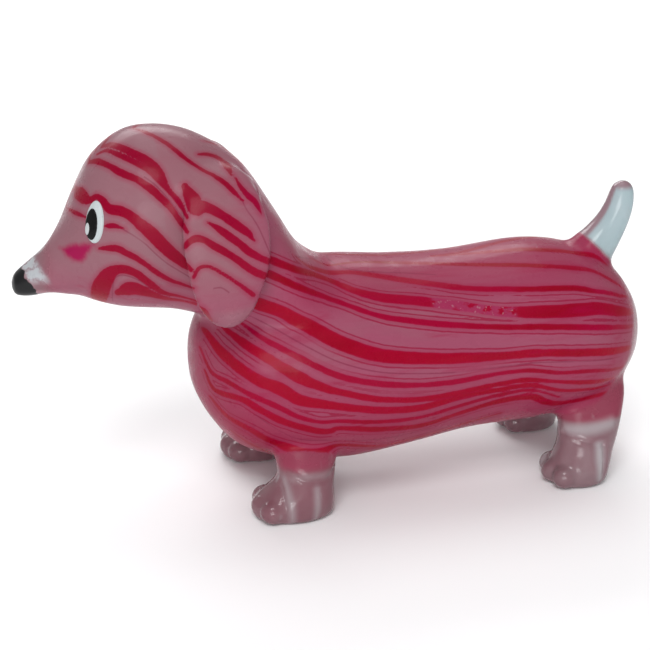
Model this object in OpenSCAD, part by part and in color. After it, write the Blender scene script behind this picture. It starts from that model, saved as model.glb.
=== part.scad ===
// Soft squeeze toy in the shape of a dachshund. A clear rubber skin holds a soft
// gel filling with red ribbons of gel around it; the paws, ears and tail are solid rubber.
// The nose points along -X, the dog's left side faces -Y, and the soles stand on z = 0.

/* [Dog] */
// Length from the nose tip to the rump
dog_length = 140; // [126:2:154]
// Width across the trunk
dog_width = 45; // [42:1:48]
// Height of the crown of the head above the soles
dog_height = 83; // [78:1:88]

/* [Skin and filling] */
// Wall of the rubber skin
wall = 1.8; // [1.4:0.1:2.2]
// Film of clear gel between the skin and the filling, where the ribbons lie
film = 0.9; // [0.8:0.1:1.2]
// Thickness of a red ribbon
ribbon = 0.5; // [0.3:0.1:0.6]
// Radius of the plug in the fill hole under the belly
plug_radius = 3; // [2.5:0.5:4]

/* [Face] */
// Height of the white of an eye
eye_height = 9.4; // [8:0.2:10]
// Width of the white of an eye
eye_width = 4.6; // [4:0.2:5.4]
// Thickness of each printed layer of an eye
eye_layer = 0.4; // [0.3:0.1:0.6]
// Length of the black tip of the nose
nose_length = 4; // [3:0.5:5]

/* [Ears, legs and tail] */
// Distance from the middle of the dog to the middle of a leg
leg_offset = 16.5; // [15:0.5:17.5]
// Height at which a paw meets its leg
paw_height = 6.5; // [6:0.5:7]
// Clearance between an ear and the head
ear_gap = 0.5; // [0.4:0.1:0.8]

/* [Hidden] */

around = 20;        // points round each ring of a form
steps = 2;          // rings per station
squareness = 2.15;  // 2 is an ellipse, and more is squarer
far = 200;          // longer than the dog
smallest = 0.3;     // half width below which a shrunk ring is left out
left = -1;
right = 1;

// The stations below are for a dog of 140 x 45 x 83 mm, and these scale them
kx = dog_length / 140;
ky = dog_width / 45;
kz = dog_height / 83;

// Stations of the trunk, and of the head with its neck: x, middle z, half width, half height
trunk_stations = [
    [-33, 31.6, 1, 1], [-32, 31.6, 6, 7], [-28.5, 31.1, 12.5, 13.5], [-23, 30.6, 18.5, 18.8],
    [-13, 29.9, 21.5, 21.8], [0, 29.4, 22.5, 22.4], [14, 29.6, 21.8, 21], [28, 30.6, 21, 19.8],
    [44, 31.6, 21.5, 20], [55, 31.6, 20, 18.5], [63, 31.4, 15.5, 14.8], [68, 30.9, 9.5, 9],
    [69.7, 30.6, 4.5, 4.5], [70, 30.6, 1, 1]
];
head_stations = [
    [-70, 52, 0.8, 0.8], [-69.2, 52.2, 2.2, 2.3], [-66.5, 53.1, 3.5, 3.6], [-62.5, 54.9, 4.9, 5],
    [-59.2, 57.1, 7.2, 7.6], [-56, 60.2, 9.8, 11.3], [-52.5, 62.6, 12.6, 15.1], [-48, 64, 14.9, 17.8],
    [-43, 64.7, 16.5, 19.2], [-36, 64.1, 17.2, 19.6], [-29, 61.5, 17.4, 19.7], [-21, 56, 17.6, 19.4],
    [-15, 49.7, 17.8, 16.8], [-9, 43.8, 18, 12.9], [-3, 40.7, 17.5, 11.2], [4, 38.6, 15, 9]
];

// The neck's two cuts lie this far from its middle, square to a line that leans forward
neck = [-21.5, 50.6];
neck_lean = 35;
neck_half = 3;
waist_from = 8;
waist_to = 36;

function placed(s) = [for (p = s) [p[0] * kx, p[1] * kz, p[2] * ky, p[3] * kz]];
function curve(a, b, c, d, t) =
    0.5 * (2 * b + (c - a) * t + (2 * a - 5 * b + 4 * c - d) * t * t + (3 * b - a - 3 * c + d) * t * t * t);
function smooth(s, n = steps) = let (last = len(s) - 1) [
    for (i = [0 : last - 1], j = [0 : n - 1])
        curve(s[max(i - 1, 0)], s[i], s[i + 1], s[min(i + 2, last)], j / n),
    s[last]
];
function rounded(v) = sign(v) * pow(abs(v), 2 / squareness);
function ring(s) = [
    for (k = [0 : around - 1]) let (a = 360 * k / around)
        [s[0], s[2] * rounded(cos(a)), s[1] + s[3] * rounded(sin(a))]
];
// The same stations grown outwards, or shrunk where grow is below zero
function grown(s, grow) = let (lo = s[0][0], hi = s[len(s) - 1][0], mid = (lo + hi) / 2) [
    for (p = s) if (min(p[2], p[3]) + grow > smallest)
        [mid + (p[0] - mid) * (1 + 2 * grow / (hi - lo)), p[1], p[2] + grow, p[3] + grow]
];

// A closed surface through rings of points that all have the same count
module lofted(rings) {
    n = len(rings);
    m = len(rings[0]);
    polyhedron(
        points = [for (r = rings) each r],
        faces = concat(
            [[for (k = [0 : m - 1]) k]],
            [for (i = [0 : n - 2], k = [0 : m - 1]) let (a = i * m + k, b = i * m + (k + 1) % m)
                [b, a, a + m, b + m]],
            [[for (k = [m - 1 : -1 : 0]) (n - 1) * m + k]]
        ));
}

trunk = smooth(placed(trunk_stations));
head = smooth(placed(head_stations));

module trunk_form(grow = 0) lofted([for (s = grown(trunk, grow)) ring(s)]);
module head_form(grow = 0) lofted([for (s = grown(head, grow)) ring(s)]);
module dog_form(grow = 0) {
    trunk_form(grow);
    head_form(grow);
}

// Everything on the head's side of a cut through the neck, shift above the neck's middle
module above_neck(shift)
    translate([neck[0] * kx, 0, neck[1] * kz])
        rotate([0, -neck_lean, 0])
            translate([-far, -far, shift]) cube(2 * far);
module between_x(from, to) translate([from, -far, -far]) cube([to - from, 2 * far, 2 * far]);

// The dog is divided where it flexes: the neck and the waist are the two soft bands
module head_zone() intersection() {
    children();
    above_neck(neck_half);
}
module neck_zone() difference() {
    intersection() {
        children();
        above_neck(-neck_half);
    }
    above_neck(neck_half);
}
module chest_zone() difference() {
    intersection() {
        children();
        between_x(-far, waist_from * kx);
    }
    above_neck(-neck_half);
}
module waist_zone() intersection() {
    children();
    between_x(waist_from * kx, waist_to * kx);
}
module rump_zone() intersection() {
    children();
    between_x(waist_to * kx, far);
}

// Skin: one wall of rubber all round, solid at the muzzle, with a fill hole under the belly
muzzle_end = -60;
belly = 7 * kz;
fill_hole_facets = 32;
module cavity(grow = 0) difference() {
    dog_form(grow - wall);
    between_x(-far, muzzle_end * kx - grow);
}
module fill_hole(from, to)
    translate([0, 0, from]) cylinder(r = plug_radius, h = to - from, $fn = fill_hole_facets);
module skin() difference() {
    dog_form();
    cavity();
    fill_hole(0, belly + 2 * wall);
    nose_cut();
}

// The black tip of the nose reaches further back along its lower side
nose_lean = 30;
nose_middle = 52.2;
module nose_cut()
    translate([nose_length * kx - dog_length / 2, 0, nose_middle * kz])
        rotate([0, -nose_lean, 0])
            translate([-2 * far, -far, -far]) cube(2 * far);
module nose_tip() color("black") intersection() {
    head_form();
    nose_cut();
}

plug_lip = 0.6;
plug_flare = 0.8;
module fill_plug() color("white") {
    translate([0, 0, belly - plug_lip])
        cylinder(r1 = plug_radius - plug_flare, r2 = plug_radius, h = plug_lip, $fn = fill_hole_facets);
    difference() {
        fill_hole(belly, belly + wall + film / 2);
        trunk_form(-wall - film / 2);
    }
}

// Filling: a soft body of gel that is one film smaller than the cavity
module filling() cavity(-film);

// Ribbons: bands of red gel wound along the filling, each given as x, z and half its width
ribbon_lines = [
    [[-42, 84.1, 0.3], [-38, 82.1, 0.7], [-32, 78.1, 0.9], [-26, 73.6, 0.9], [-20, 66.1, 0.8],
        [-15, 59.1, 0.8], [-8, 54.1, 0.9], [2, 50.6, 0.8], [16, 48.1, 0.9], [30, 47.1, 0.9],
        [44, 45.6, 0.9], [56, 43.6, 0.8], [64, 39.6, 0.3]],
    [[-53, 77.6, 0.4], [-47, 78.1, 1], [-42, 75.1, 1.1], [-36, 67.6, 1], [-28, 63.6, 1],
        [-18, 58.1, 1.1], [-12, 54.6, 1.3], [-2, 49.6, 1.2], [6, 46.8, 1.2], [15, 45.1, 1.2],
        [24, 43.6, 1.2], [32, 42.4, 1.4], [41, 42.1, 1.6], [50, 41.6, 1.6], [61, 39.1, 1.4],
        [66, 37.6, 0.4]],
    [[-57, 71.6, 0.5], [-52, 72.1, 1], [-47, 70.1, 1.5], [-43, 67.6, 1.5], [-38.5, 61.1, 1.4],
        [-34, 58.1, 1], [-27, 57.6, 0.9], [-19, 55.6, 1], [-12.5, 52.1, 1], [-3, 46.8, 1],
        [5, 43.8, 1], [14, 41.6, 1.1], [23, 40.2, 1], [32, 39.2, 0.9], [41, 38.6, 0.9],
        [50, 38.1, 0.9], [61, 35.6, 0.9], [66, 34.6, 0.4]],
    [[-55, 63.1, 0.4], [-50, 62.1, 0.9], [-46, 61.1, 1], [-42, 58.1, 1], [-38, 55.6, 0.9],
        [-34, 53.1, 1], [-28, 51.6, 1.3], [-21.5, 49.1, 1.7], [-16.5, 47.1, 1.9], [-12.5, 44.6, 2],
        [-4.5, 40.1, 2], [4, 36.6, 1.9], [13, 35.1, 1.6], [22, 34.1, 1.5], [31, 33.6, 1.3],
        [40, 33.4, 1.3], [50, 32.6, 1.3], [61, 30.4, 1.2], [67, 29.6, 0.4]],
    [[-29, 40.1, 0.4], [-25, 39.1, 1], [-21, 37.6, 1.3], [-17.5, 35.9, 1.5], [-13.5, 33.6, 1.6],
        [-5, 29.6, 1.2], [4, 27.3, 1], [13, 26.6, 0.8], [22, 27.2, 0.8], [31, 28, 0.8],
        [38, 27.8, 0.8], [46, 26.1, 0.8], [54, 24.6, 0.8], [62, 23.1, 0.4]],
    [[-31, 36.6, 0.5], [-27.5, 35.2, 1.3], [-21.5, 32.6, 1.6], [-17.5, 30.6, 1.7], [-13.5, 28.4, 1.8],
        [-5, 25.6, 1.5], [4, 23.8, 1.2], [13, 23.4, 1.1], [22, 24.2, 0.9], [31, 25.1, 0.8],
        [38, 24.8, 0.8], [46, 22.8, 0.8], [54, 21.1, 0.7], [60, 20.1, 0.4]],
    [[-31, 29.6, 0.4], [-25, 27.8, 0.9], [-21.5, 26.1, 1], [-17.5, 23.8, 1.1], [-13, 21.8, 1.3],
        [-6.5, 20.2, 1.2], [4.5, 19, 1.1], [14, 18.4, 1], [23, 19.8, 0.9], [32, 21.6, 0.9],
        [39, 21.8, 1], [47, 19.4, 1], [56, 17.9, 0.4]],
    [[-29, 23.1, 0.4], [-23, 20.1, 0.8], [-19, 17.6, 0.9], [-12.5, 15.6, 1], [-4, 14.6, 1],
        [6.5, 13.6, 1], [13, 13.6, 0.9], [20, 14.8, 0.7], [26, 16.4, 0.3]]
];
module ribbon_band(line)
    translate([0, far, 0]) rotate([90, 0, 0]) linear_extrude(2 * far)
        polygon(concat(
            [for (p = line) [p[0] * kx, (p[1] - p[2]) * kz]],
            [for (i = [len(line) - 1 : -1 : 0]) [line[i][0] * kx, (line[i][1] + line[i][2]) * kz]]));
module ribbons() intersection() {
    difference() {
        cavity(ribbon - film);
        cavity(-film);
    }
    for (line = ribbon_lines) ribbon_band(line);
}

// Rings carried along a path of [x, y, z, half width, half thickness]; the width lies along side
function along(path, side) = let (last = len(path) - 1) [
    for (i = [0 : last]) let (
        o = path[max(i - 1, 0)],
        p = path[i],
        q = path[min(i + 1, last)],
        d = [q[0] - o[0], q[1] - o[1], q[2] - o[2]],
        flat = d - (d * side) * side,
        n = cross(flat / norm(flat), side)
    ) [for (k = [0 : around - 1]) let (a = 360 * k / around)
        [p[0], p[1], p[2]] + side * p[3] * rounded(cos(a)) + n * p[4] * rounded(sin(a))]
];
function curved(s, n) = let (last = len(s) - 1) [
    for (i = [0 : last - 1], j = [0 : n - 1])
        [for (c = [0 : len(s[0]) - 1])
            curve(s[max(i - 1, 0)][c], s[i][c], s[i + 1][c], s[min(i + 2, last)][c], j / n)],
    s[last]
];

// Ears: a thick leaf that folds down over the side of the head
ear_stations = [
    [-28.5, 7.5, 77.1, 3.5, 1.2], [-28.8, 12, 76, 6.5, 1.8], [-28.4, 16.2, 72.6, 8.6, 2.3],
    [-28.3, 19.2, 66.6, 9.1, 2.5], [-28.1, 20.6, 59.6, 8.5, 2.5], [-28.5, 21, 53.6, 6.4, 2.4],
    [-28.6, 21, 49.1, 3.8, 2], [-28.6, 20.9, 46.6, 1.2, 1]
];
ear_cut = 12.5;
module ear_leaf() lofted(along(
    [for (p = curved(ear_stations, 2)) [p[0] * kx, -p[1] * ky, p[2] * kz, p[3] * kx, p[4]]], [1, 0, 0]));
module beside(from) translate([-far, -far - from * ky, -far]) cube([2 * far, far, 2 * far]);
module ear(side) color("pink") sided(side) difference() {
    intersection() {
        ear_leaf();
        beside(ear_cut);
    }
    head_form(ear_gap);
}
root_gap = 0.06;
module ear_root(side) color("pink") sided(side) difference() {
    ear_leaf();
    beside(ear_cut);
    head_form(root_gap);
}

// Tail: stands up from the rump and curls forward at its tip
tail_stations = [
    [54, 0, 40.6, 6.6, 6.6], [57, 0, 44.6, 6.1, 6.1], [59.3, 0, 47.8, 5.3, 5.3], [61.7, 0, 50.8, 4.3, 4.3],
    [64.2, 0, 54.5, 3.6, 3.6], [65.8, 0, 58, 3.2, 3.2], [66.5, 0, 61.1, 2.8, 2.8], [66.7, 0, 63.2, 2.1, 2.1],
    [66.7, 0, 64.2, 0.8, 0.8]
];
tail_joint = [61.2, 50.4];
tail_lean = 29;
module tail_form() lofted(along(
    [for (p = curved(tail_stations, 2)) [p[0] * kx, 0, p[2] * kz, p[3], p[4]]], [0, 1, 0]));
module above_tail_joint()
    translate([tail_joint[0] * kx, 0, tail_joint[1] * kz])
        rotate([0, tail_lean, 0])
            translate([-far, -far, 0]) cube(2 * far);
module tail() color("white") intersection() {
    tail_form();
    above_tail_joint();
}
module tail_root() color("white") difference() {
    tail_form();
    above_tail_joint();
    trunk_form();
}

// Legs: stations are z, x, how far inwards from the paw, half length and half width
front_leg = [
    [0, -14, 0, 7.8, 5.6], [1, -14, 0, 8.9, 6.6], [3.2, -13.9, 0, 9, 6.9], [5, -13.1, 0, 8.2, 6.6],
    [7, -11.9, 0, 6.9, 6], [9, -11, 0.5, 6.3, 5.7], [12, -10.8, 1.2, 6.6, 5.5], [16, -10.6, 3, 7, 4.8],
    [21, -10.5, 6, 6.6, 3.2]
];
rear_leg = [
    [0, 51.9, 0.5, 5.8, 5.4], [1, 52, 0.5, 6.8, 6.4], [3.2, 52.3, 0.5, 7, 6.7], [5, 52.8, 0.5, 6.9, 6.4],
    [7, 53.5, 0.7, 6.7, 5.8], [9, 54.2, 1, 6.7, 5.5], [12, 55, 1.8, 7.1, 5.1], [16, 56, 3.5, 7.6, 4.5],
    [20, 57, 5.5, 7.8, 3.8], [24, 57.5, 7.5, 7, 3]
];
module leg_form(s) lofted([
    for (p = curved(s, 2)) [for (k = [0 : around - 1]) let (a = 360 * k / around)
        [p[1] * kx + p[3] * rounded(cos(a)), p[4] * rounded(sin(a)) + p[2] - leg_offset, p[0] * kz]]
]);
module below(z) translate([-far, -far, z - 2 * far]) cube(2 * far);
front_toes = -20.2;
rear_toes = 46.8;
toe_radius = 2.7;
toe_spread = 4;
toe_setback = 1.2;  // how far the outer toes lie behind the middle one
toe_sunk = 0.3;     // how far a toe reaches below the sole, before it is cut flat
module toes(x)
    for (k = [-1 : 1])
        translate([x * kx + abs(k) * toe_setback, k * toe_spread - leg_offset, toe_radius - toe_sunk])
            sphere(toe_radius, $fn = 20);
module paw(s, toe_x, side) color("white") sided(side) intersection() {
    union() {
        leg_form(s);
        toes(toe_x);
    }
    below(paw_height * kz);
    translate([-far, -far, 0]) cube(2 * far);
}
module leg(s, side) color("pink") sided(side) difference() {
    leg_form(s);
    below(paw_height * kz);
    trunk_form();
}

// Eyes: layers printed one on another, a white, a pupil and a glint
eye = [-53.6, -11, 67.7];
eye_turn = -38;
eye_depth = 10;
eye_facets = 32;
pupil_size = [0.57, 0.68];   // as parts of the white's width and height
pupil_shift = [-0.3, -0.6];
glint_size = [1, 2.2];
glint_shift = [-0.9, -0.9];
module oval_prism(shift, size)
    translate([eye[0] * kx, eye[1] * ky, eye[2] * kz])
        rotate([0, 0, eye_turn]) translate([shift[0], 0, shift[1]]) rotate([90, 0, 0])
            translate([0, 0, -eye_depth / 2]) linear_extrude(eye_depth)
                polygon([for (k = [0 : eye_facets - 1]) let (a = 360 * k / eye_facets)
                    [size[0] / 2 * cos(a), size[1] / 2 * sin(a)]]);
module printed(layer) difference() {
    intersection() {
        head_form((layer + 1) * eye_layer);
        children();
    }
    head_form(layer * eye_layer);
}
module eye_white(side) color("white") sided(side)
    printed(0) oval_prism([0, 0], [eye_width, eye_height]);
module pupil(side) color("black") sided(side)
    printed(1) oval_prism(pupil_shift, [eye_width * pupil_size[0], eye_height * pupil_size[1]]);
module glint(side) color("white") sided(side)
    printed(2) oval_prism(glint_shift, glint_size);

// Everything above is drawn for the left side, which faces -Y
module sided(side)
    if (side == left) children();
    else mirror([0, 1, 0]) children();

module skin_head() color("pink") head_zone() skin();
module skin_neck() color("pink") neck_zone() skin();
module skin_chest() color("pink") chest_zone() skin();
module skin_waist() color("pink") waist_zone() skin();
module skin_rump() color("pink") rump_zone() skin();
module filling_head() color("plum") head_zone() filling();
module filling_neck() color("plum") neck_zone() filling();
module filling_chest() color("plum") chest_zone() filling();
module filling_waist() color("plum") waist_zone() filling();
module filling_rump() color("plum") rump_zone() filling();
module ribbons_head() color("crimson") head_zone() ribbons();
module ribbons_neck() color("crimson") neck_zone() ribbons();
module ribbons_chest() color("crimson") chest_zone() ribbons();
module ribbons_waist() color("crimson") waist_zone() ribbons();
module ribbons_rump() color("crimson") rump_zone() ribbons();

skin_head();
skin_neck();
skin_chest();
skin_waist();
skin_rump();
filling_head();
filling_neck();
filling_chest();
filling_waist();
filling_rump();
ribbons_head();
ribbons_neck();
ribbons_chest();
ribbons_waist();
ribbons_rump();
ear(left);  // ear_left
ear(right);  // ear_right
ear_root(left);  // ear_root_left
ear_root(right);  // ear_root_right
tail();
tail_root();
leg(front_leg, left);  // leg_front_left
leg(front_leg, right);  // leg_front_right
leg(rear_leg, left);  // leg_rear_left
leg(rear_leg, right);  // leg_rear_right
paw(front_leg, front_toes, left);  // paw_front_left
paw(front_leg, front_toes, right);  // paw_front_right
paw(rear_leg, rear_toes, left);  // paw_rear_left
paw(rear_leg, rear_toes, right);  // paw_rear_right
fill_plug();
nose_tip();
eye_white(left);  // eye_white_left
eye_white(right);  // eye_white_right
pupil(left);  // pupil_left
pupil(right);  // pupil_right
glint(left);  // glint_left
glint(right);  // glint_right
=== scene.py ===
"""The squeeze-toy dachshund: clear rubber skin over a pink gel filling with red ribbons of gel."""
import math

import bpy
import numpy as np
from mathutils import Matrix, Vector
from mathutils.bvhtree import BVHTree


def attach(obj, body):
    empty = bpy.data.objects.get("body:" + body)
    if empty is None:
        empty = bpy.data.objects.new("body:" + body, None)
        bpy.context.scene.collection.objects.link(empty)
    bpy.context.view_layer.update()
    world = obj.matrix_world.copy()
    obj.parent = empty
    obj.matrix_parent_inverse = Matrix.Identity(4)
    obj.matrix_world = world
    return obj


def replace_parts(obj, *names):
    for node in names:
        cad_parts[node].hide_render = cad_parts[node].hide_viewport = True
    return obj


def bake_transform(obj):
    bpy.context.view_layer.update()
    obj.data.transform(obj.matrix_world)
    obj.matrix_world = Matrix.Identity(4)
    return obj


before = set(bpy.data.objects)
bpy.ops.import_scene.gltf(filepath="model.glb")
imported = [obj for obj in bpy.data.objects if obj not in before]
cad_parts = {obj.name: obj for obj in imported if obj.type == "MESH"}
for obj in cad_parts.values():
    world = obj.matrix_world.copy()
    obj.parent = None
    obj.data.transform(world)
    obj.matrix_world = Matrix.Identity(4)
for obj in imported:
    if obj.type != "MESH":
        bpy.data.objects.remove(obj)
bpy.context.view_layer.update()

MM = 0.001

# ---------------------------------------------------------------- the form, as in the CAD source, in mm
# x, middle z, half width, half height
TRUNK = [
    (-33, 31.6, 1, 1), (-32, 31.6, 6, 7), (-28.5, 31.1, 12.5, 13.5), (-23, 30.6, 18.5, 18.8),
    (-13, 29.9, 21.5, 21.8), (0, 29.4, 22.5, 22.4), (14, 29.6, 21.8, 21), (28, 30.6, 21, 19.8),
    (44, 31.6, 21.5, 20), (55, 31.6, 20, 18.5), (63, 31.4, 15.5, 14.8), (68, 30.9, 9.5, 9),
    (69.7, 30.6, 4.5, 4.5), (70, 30.6, 1, 1)]
HEAD = [
    (-70, 52, 0.8, 0.8), (-69.2, 52.2, 2.2, 2.3), (-66.5, 53.1, 3.5, 3.6), (-62.5, 54.9, 4.9, 5),
    (-59.2, 57.1, 7.2, 7.6), (-56, 60.2, 9.8, 11.3), (-52.5, 62.6, 12.6, 15.1), (-48, 64, 14.9, 17.8),
    (-43, 64.7, 16.5, 19.2), (-36, 64.1, 17.2, 19.6), (-29, 61.5, 17.4, 19.7), (-21, 56, 17.6, 19.4),
    (-15, 49.7, 17.8, 16.8), (-9, 43.8, 18, 12.9), (-3, 40.7, 17.5, 11.2), (4, 38.6, 15, 9)]
# z, x, how far inwards from the paw, half length, half width
FRONT_LEG = [
    (0, -14, 0, 7.8, 5.6), (1, -14, 0, 8.9, 6.6), (3.2, -13.9, 0, 9, 6.9), (5, -13.1, 0, 8.2, 6.6),
    (7, -11.9, 0, 6.9, 6), (9, -11, 0.5, 6.3, 5.7), (12, -10.8, 1.2, 6.6, 5.5), (16, -10.6, 3, 7, 4.8),
    (21, -10.5, 6, 6.6, 3.2)]
REAR_LEG = [
    (0, 51.9, 0.5, 5.8, 5.4), (1, 52, 0.5, 6.8, 6.4), (3.2, 52.3, 0.5, 7, 6.7), (5, 52.8, 0.5, 6.9, 6.4),
    (7, 53.5, 0.7, 6.7, 5.8), (9, 54.2, 1, 6.7, 5.5), (12, 55, 1.8, 7.1, 5.1), (16, 56, 3.5, 7.6, 4.5),
    (20, 57, 5.5, 7.8, 3.8), (24, 57.5, 7.5, 7, 3)]
# x, z, radius
TAIL = [
    (54, 45, 6.6), (57, 49, 6.1), (59.3, 52.2, 5.3), (61.7, 55.2, 4.3), (64.2, 58.9, 3.6),
    (65.8, 62.4, 3.2), (66.5, 65.5, 2.8), (66.7, 67.6, 2.1), (66.7, 68.6, 0.8)]
TAIL = [(x, z - 4.4, r) for x, z, r in TAIL]
# x, distance from the middle, z, half width, half thickness
EAR = [
    (-28.5, 7.5, 77.1, 3.5, 1.2), (-28.8, 12, 76, 6.5, 1.6), (-28.4, 16.6, 72.6, 8.6, 1.6),
    (-28.3, 20, 66.6, 9.1, 1.7), (-28.1, 21.3, 59.6, 8.6, 1.8), (-28.4, 21.7, 53.6, 7, 1.6),
    (-28.4, 21.6, 49.4, 5, 1.4), (-28.4, 21.4, 47.1, 2.8, 1), (-28.4, 21.3, 46.6, 1.4, 0.8)]
LEG_OUT = 16.5
SQUARE = 2.15
LEFT, RIGHT = -1, 1


def spline(rows, n):
    p = np.array(rows, float)
    q = np.vstack([p[:1], p, p[-1:]])
    t = (np.arange(n) / n)[:, None]
    out = []
    for i in range(len(p) - 1):
        a, b, c, d = q[i], q[i + 1], q[i + 2], q[i + 3]
        out.append(0.5 * (2 * b + (c - a) * t + (2 * a - 5 * b + 4 * c - d) * t * t + (3 * b - a - 3 * c + d) * t ** 3))
    return np.vstack(out + [p[-1:]])


def around(n):
    a = np.arange(n) * 2 * math.pi / n
    c, s = np.cos(a), np.sin(a)
    return np.sign(c) * np.abs(c) ** (2 / SQUARE), np.sign(s) * np.abs(s) ** (2 / SQUARE)


def loft(rings):
    """Points and faces of a closed surface through rings of points."""
    n, m = len(rings), len(rings[0])
    faces = [tuple(range(m))]
    for i in range(n - 1):
        for k in range(m):
            a, b = i * m + k, i * m + (k + 1) % m
            faces.append((b, a, a + m, b + m))
    faces.append(tuple((n - 1) * m + k for k in range(m - 1, -1, -1)))
    return np.vstack(rings), faces


C, S = around(64)


def body_form(rows, grow=0.0):
    s = spline(rows, 6)
    lo, hi = s[0, 0], s[-1, 0]
    s[:, 0] = (lo + hi) / 2 + (s[:, 0] - (lo + hi) / 2) * (1 + 2 * grow / (hi - lo))
    s[:, 2:] += grow
    s = s[(s[:, 2] > 0.2) & (s[:, 3] > 0.2)]
    return loft([np.stack([np.full_like(C, x), w * C, z + h * S], 1) for x, z, w, h in s])


def leg_form(rows, side):
    return loft([np.stack([x + a * C, b * S + side * (LEG_OUT - i), np.full_like(C, z)], 1)
                 for z, x, i, a, b in spline(rows, 5)])


def path_form(rows, side):
    """rows of x, y, z, half width along side, half thickness."""
    s, side = spline(rows, 6), np.array(side, float)
    rings = []
    for i in range(len(s)):
        d = s[min(i + 1, len(s) - 1), :3] - s[max(i - 1, 0), :3]
        d -= d.dot(side) * side
        n = np.cross(d / np.linalg.norm(d), side)
        rings.append(s[i, :3] + C[:, None] * s[i, 3] * side + S[:, None] * s[i, 4] * n)
    return loft(rings)


def ear_form(side):
    return path_form([(x, side * y, z, w, t) for x, y, z, w, t in EAR], (1, 0, 0))


def egg(centre, radii, n=24):
    t = np.linspace(0.02, math.pi - 0.02, n)
    return loft([np.stack([centre[0] - radii[0] * math.cos(a) + 0 * C, centre[1] + radii[1] * math.sin(a) * C,
                           centre[2] + radii[2] * math.sin(a) * S], 1) for a in t])


def toe_forms():
    out = []
    for side in (LEFT, RIGHT):
        for x, inner in ((-20.3, 0), (46.7, 0.5)):
            for k in (-1, 0, 1):
                out.append(egg((x + abs(k) * 1.1, side * (LEG_OUT - inner) + k * 4.1, 2.6), (3, 2.6, 2.6)))
    return out


# Each ear grows out of a round boss on the side of the head
KNOBS = [egg((-28, side * 21.6, 50.9), (4.7, 1.7, 4.1)) for side in (LEFT, RIGHT)]
BOSSES = [egg((-28.5, side * 10.5, 70), (9.5, 7, 8)) for side in (LEFT, RIGHT)]
FORMS = {"trunk": [body_form(TRUNK)], "head": [body_form(HEAD)] + BOSSES,
         "tail": [path_form([(x, 0, z, r, r) for x, z, r in TAIL], (0, 1, 0))],
         "legs": [leg_form(r, s) for r in (FRONT_LEG, REAR_LEG) for s in (LEFT, RIGHT)] + toe_forms(),
         "ears": [ear_form(LEFT), ear_form(RIGHT)] + KNOBS}


def mesh_object(name, points, faces):
    me = bpy.data.meshes.new(name)
    me.from_pydata([tuple(p) for p in np.asarray(points) * MM], [], [tuple(int(i) for i in f) for f in faces])
    me.validate()
    ob = bpy.data.objects.new(name, me)
    bpy.context.scene.collection.objects.link(ob)
    return ob


def joined(parts):
    pts, faces, o = [], [], 0
    for p, f in parts:
        pts.append(p)
        faces += [tuple(i + o for i in q) for q in f]
        o += len(p)
    return np.vstack(pts), faces


def remeshed(parts, voxel):
    """One skin round all the parts: points in mm and quads."""
    ob = mesh_object("raw", *joined(parts))
    mod = ob.modifiers.new("Remesh", "REMESH")
    mod.mode, mod.voxel_size = "VOXEL", voxel * MM
    me = bpy.data.meshes.new_from_object(ob.evaluated_get(bpy.context.evaluated_depsgraph_get()))
    co = np.empty(len(me.vertices) * 3)
    me.vertices.foreach_get("co", co)
    loops = np.empty(len(me.loops), int)
    me.loops.foreach_get("vertex_index", loops)
    quads = loops.reshape(-1, 4)
    bpy.data.objects.remove(ob)
    return co.reshape(-1, 3) / MM, quads


VOXEL = 0.5
ROUNDS = int(8.6 / VOXEL ** 2)
P, Q = remeshed([f for forms in FORMS.values() for f in forms], VOXEL)
EDGES = np.vstack([Q[:, [0, 1]], Q[:, [1, 2]], Q[:, [2, 3]], Q[:, [3, 0]]])
EDGES = np.unique(np.sort(EDGES, 1), axis=0)
DEGREE = np.bincount(EDGES.ravel(), minlength=len(P)).astype(float)


def averaged(v):
    a, b = EDGES[:, 0], EDGES[:, 1]
    s = np.bincount(a, v[b], len(P)) + np.bincount(b, v[a], len(P))
    return s / DEGREE


def relax(weight, rounds, pull=0.5):
    for _ in range(rounds):
        for k in range(3):
            P[:, k] += pull * weight * (averaged(P[:, k]) - P[:, k])


def distance_to(parts):
    pts, faces = joined(parts)
    tree = BVHTree.FromPolygons([Vector(p) for p in pts], faces)
    return np.array([tree.find_nearest(p)[3] for p in map(Vector, P)])


def ramp(x, lo, hi):
    t = np.clip((x - lo) / (hi - lo), 0, 1)
    return t * t * (3 - 2 * t)


D = {k: distance_to(v) for k, v in FORMS.items()}
near = np.sort(np.stack(list(D.values()), 1), axis=1)
fold = np.exp(-(near[:, 1] / 2.2) ** 2)
fold *= 1 - ramp(-P[:, 2], -70, -66) * (D["ears"] < 3) * (D["head"] < 3)
crown = ramp(P[:, 2], 67, 71) * (D["ears"] < 3)
flat = P[:, 2] < 0.5
relax(np.where(flat, 0, 0.12), 6)
relax(np.where(flat, 0, fold), ROUNDS)
relax(crown, ROUNDS)
P[flat, 2] = np.maximum(P[flat, 2], 0.0)


def normals_of(p):
    d1, d2 = p[Q[:, 2]] - p[Q[:, 0]], p[Q[:, 3]] - p[Q[:, 1]]
    f = np.cross(d1, d2)
    n = np.zeros_like(p)
    for k in range(3):
        for c in range(4):
            n[:, k] += np.bincount(Q[:, c], f[:, k], len(p))
    if (n * (p - p.mean(0))).sum() < 0:
        n = -n
    return n / np.maximum(np.linalg.norm(n, axis=1, keepdims=True), 1e-12)


N = normals_of(P)

print("skin points", len(P), "box", P.min(0).round(2), P.max(0).round(2))

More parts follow.
